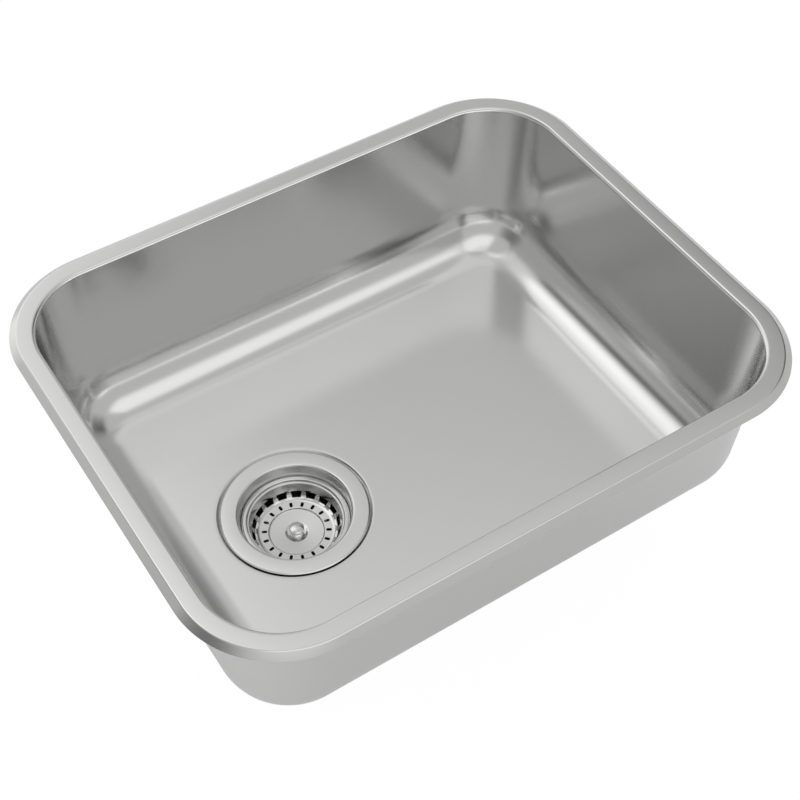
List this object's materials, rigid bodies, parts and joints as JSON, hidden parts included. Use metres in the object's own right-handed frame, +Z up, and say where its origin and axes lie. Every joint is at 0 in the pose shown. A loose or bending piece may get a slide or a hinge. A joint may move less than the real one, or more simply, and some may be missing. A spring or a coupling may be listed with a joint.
{
  "type": "undermount kitchen sink",
  "caption": "Undermount single-bowl steel kitchen sink with a flat rim, and a strainer waste whose slotted basket turns and lifts out with its rubber stopper.",
  "frame": {"origin": "centre of the bowl's opening, in the plane of the rim's top face", "axes": "+X along the front edge, +Y from the front edge to the back edge, +Z up, out of the bowl"},
  "size_m": [0.4818, 0.3898, 0.2237],
  "materials": {
    "satin_steel": "satin stainless steel",
    "flange_steel": "satin stainless steel, fine turned grain",
    "basket_steel": "bright polished stainless steel",
    "fastener_steel": "plain turned stainless steel",
    "seal_rubber": "black moulded rubber",
    "pad_rubber": "dark anti-drumming pad",
    "housing_plastic": "moulded polypropylene",
    "insert_brass": "turned brass"
  },
  "bodies": {
    "sink": {"sink_bowl": "satin_steel", "sound_pad": "pad_rubber", "waste_flange": "flange_steel", "flange_seal": "seal_rubber", "housing_gasket": "seal_rubber", "waste_housing": "housing_plastic", "hub_insert": "insert_brass", "screw_washer": "fastener_steel", "centre_screw": "fastener_steel"},
    "stopper": {"basket_stem": "fastener_steel", "detent_ring": "seal_rubber", "seal_washer": "fastener_steel", "stopper_seal": "seal_rubber", "seal_nut": "fastener_steel"},
    "basket": {"basket_shell": "basket_steel", "basket_knob": "basket_steel"}
  },
  "joints": [
    {"name": "basket_lift", "type": "slide", "parent": "sink", "child": "stopper", "axis": [0, 0, 1], "range_m": [0, 0.2]},
    {"name": "basket_turn", "type": "hinge", "parent": "stopper", "child": "basket", "pos_m": [-0.0985, -0.009, -0.154], "axis": [0, 0, 1], "continuous": true}
  ]
}
